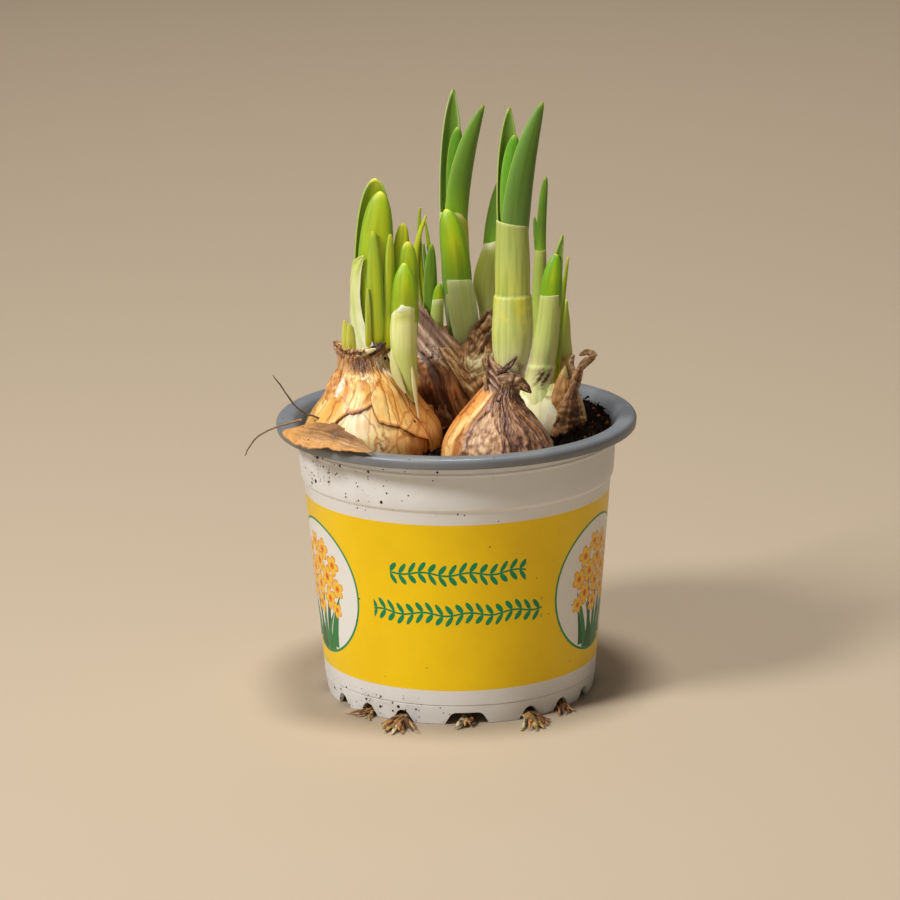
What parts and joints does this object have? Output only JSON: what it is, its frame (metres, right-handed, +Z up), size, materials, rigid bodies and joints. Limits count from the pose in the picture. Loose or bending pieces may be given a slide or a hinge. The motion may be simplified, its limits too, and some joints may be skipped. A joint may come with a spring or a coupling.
{
  "type": "potted tete-a-tete daffodil",
  "caption": "Sprouting dwarf daffodil bulbs in a round plastic nursery pot filled with peat, with young leaf shoots, a loose husk and roots out of the foot's notches.",
  "frame": {"origin": "on the pot's axis, at the level where the foot ring and the underside's centre pad stand on the ground", "axes": "+Z up along the pot's axis; -Y towards the front of the printed band, +X to the right of it"},
  "size_m": [0.1297, 0.12, 0.2031],
  "materials": {
    "pot_plastic": "satin moulded plastic, off-white with a printed yellow band outside, mid-grey on the rim and inside",
    "peat": null,
    "golden_skin": "thin golden-brown bulb skin with a slight sheen, veined and torn",
    "brown_skin": "dry, wrinkled brown bulb skin",
    "torn_skin": "loose, torn grey-brown bulb skin over pale layers",
    "pale_skin": "bare cream-green bulb scale with a dry brown flap",
    "young_leaf": null,
    "green_leaf": "fresh blue-green strap leaf, waxy and finely ribbed",
    "sheath": "pale cream-green leaf sheath with fine lengthwise veins",
    "dry_husk": "dry, papery tan husk with lengthwise veins",
    "root": "cream to tan root, matt"
  },
  "bodies": {
    "root": {"pot": "pot_plastic", "soil": "peat", "bulb_left": "golden_skin", "bulb_front": "brown_skin", "bulb_back": "torn_skin", "bulb_right": "pale_skin", "left_tall_leaves": "young_leaf", "left_tall_sheath": "sheath", "left_side_buds": "young_leaf", "left_front_sheath": "sheath", "left_front_leaf": "young_leaf", "left_rear_leaves": "young_leaf", "back_tall_sheath": "sheath", "back_tall_leaves": "green_leaf", "back_front_sheath": "sheath", "back_front_leaf": "young_leaf", "back_leaning_sheath": "sheath", "back_leaning_leaf": "green_leaf", "back_small_sheath": "sheath", "back_small_leaf": "young_leaf", "back_thin_leaves": "green_leaf", "front_sheath": "sheath", "front_leaves": "green_leaf", "right_front_sheath": "sheath", "right_front_leaves": "green_leaf", "right_side_shoot": "green_leaf", "right_thin_leaf": "green_leaf", "right_rear_sheath": "sheath", "right_rear_leaves": "green_leaf", "loose_husk": "dry_husk", "hair_root_upper": "root", "hair_root_lower": "root", "roots_left": "root", "roots_front_left": "root", "roots_front": "root", "roots_front_right": "root", "roots_right": "root", "roots_back": "root"}
  },
  "joints": []
}
